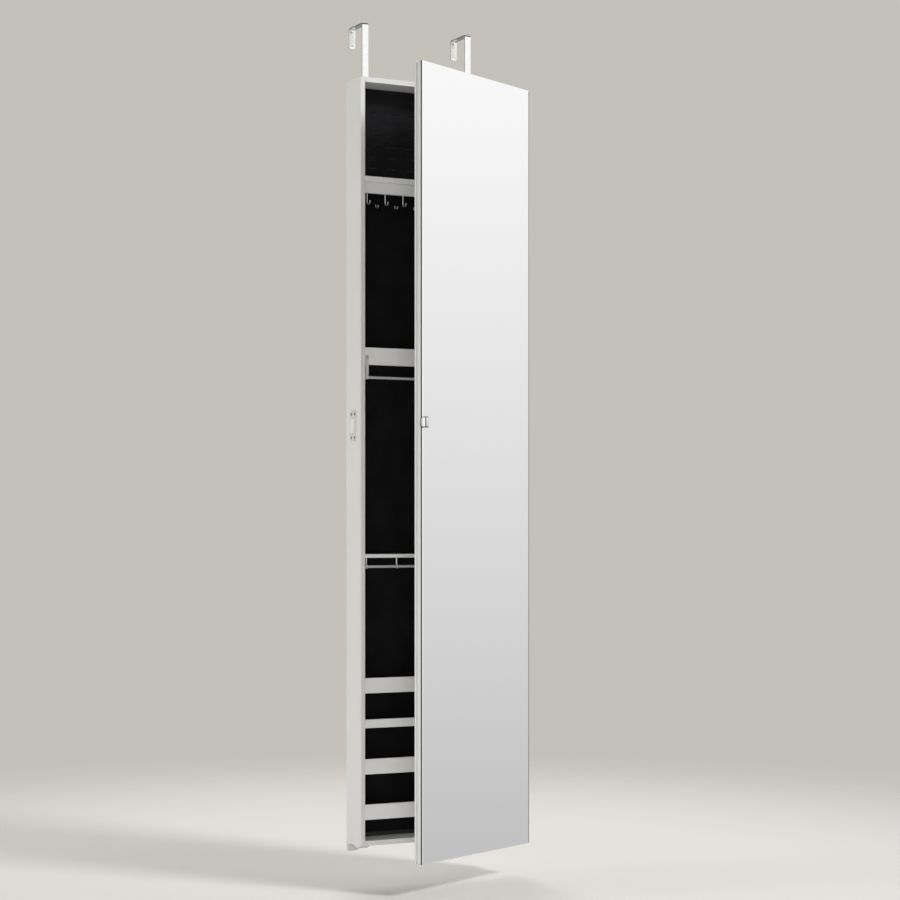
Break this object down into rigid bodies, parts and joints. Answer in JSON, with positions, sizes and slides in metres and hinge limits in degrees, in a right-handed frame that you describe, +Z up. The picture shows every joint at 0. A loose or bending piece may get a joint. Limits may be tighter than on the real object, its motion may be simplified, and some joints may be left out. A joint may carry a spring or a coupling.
{
  "type": "jewelry mirror cabinet",
  "caption": "Tall white over-the-door jewelry cabinet with a full-length mirror door, dark lining, necklace hooks, rods, trays and steel hooks over the room door.",
  "frame": {"origin": "centre of the cabinet's rear face, which lies against the room door", "axes": "+X to the hinge side, +Y to the back through the room door, +Z up; the mirror door stands open 25.7 degrees at rest"},
  "size_m": [0.3783, 0.3132, 1.663],
  "materials": {
    "box_paint": "satin white paint on board",
    "back_board": "white-faced hardboard",
    "dowel_wood": "bare beech",
    "door_paint": "satin white paint on board",
    "velvet": "charcoal velvet on a thin board",
    "foam": "charcoal velvet over foam, with slits",
    "felt": "charcoal felt",
    "pad_foam": "pale closed-cell foam",
    "mirror": "silvered glass with a bevelled rim",
    "hook_steel": "bright polished steel",
    "plate_paint": "satin white",
    "chrome": "polished",
    "rod_metal": "polished",
    "hinge_steel": "nickel plated, fine brushed",
    "screw_steel": "zinc plated",
    "catch_plastic": "white moulded",
    "magnet": "dark ferrite between steel poles",
    "buffer": "clear soft rubber",
    "bumper_plastic": "light grey moulded",
    "foot_plastic": "white moulded"
  },
  "bodies": {
    "cabinet": {"left_side_panel": "box_paint", "right_side_panel": "box_paint", "top_panel": "box_paint", "bottom_panel": "box_paint", "upper_shelf": "box_paint", "hook_rail": "box_paint", "necklace_tray_base": "box_paint", "necklace_tray_lip": "box_paint", "middle_shelf": "box_paint", "tray_1_base": "box_paint", "tray_1_lip": "box_paint", "tray_2_base": "box_paint", "tray_2_lip": "box_paint", "tray_3_base": "box_paint", "tray_3_lip": "box_paint", "tray_4_base": "box_paint", "tray_4_lip": "box_paint", "back_panel": "back_board", "panel_dowels": "dowel_wood", "back_lining": "velvet", "earring_pad": "foam", "tray_liners": "felt", "hook_pads": "pad_foam", "left_door_hook": "hook_steel", "right_door_hook": "hook_steel", "side_plate": "plate_paint", "side_plate_insert": "plate_paint", "front_hooks": "chrome", "rear_hooks": "chrome", "upper_rod": "rod_metal", "left_rod_bracket": "rod_metal", "right_rod_bracket": "rod_metal", "lower_rod": "rod_metal", "lower_rod_hangers": "rod_metal", "lower_hinge_box_leaf": "hinge_steel", "middle_hinge_box_leaf": "hinge_steel", "upper_hinge_box_leaf": "hinge_steel", "hinge_pins": "hinge_steel", "hook_screws": "screw_steel", "side_plate_screws": "screw_steel", "rod_bracket_screws": "screw_steel", "catch_screws": "screw_steel", "box_hinge_screws": "screw_steel", "magnetic_catch": "catch_plastic", "catch_magnet": "magnet", "lower_bumpers": "bumper_plastic", "lower_feet": "foot_plastic"},
    "door": {"door_panel": "door_paint", "mirror_glass": "mirror", "door_pull": "chrome", "pull_screw": "screw_steel", "strike_plate": "screw_steel", "strike_screw": "screw_steel", "door_buffers": "buffer", "lower_hinge_door_leaf": "hinge_steel", "middle_hinge_door_leaf": "hinge_steel", "upper_hinge_door_leaf": "hinge_steel", "door_hinge_screws": "screw_steel"}
  },
  "joints": [
    {"name": "door_hinge", "type": "hinge", "parent": "cabinet", "child": "door", "pos_m": [0.1865, -0.0654, 0], "axis": [0, 0, 1], "range_deg": [-25.7, 94.3]}
  ]
}
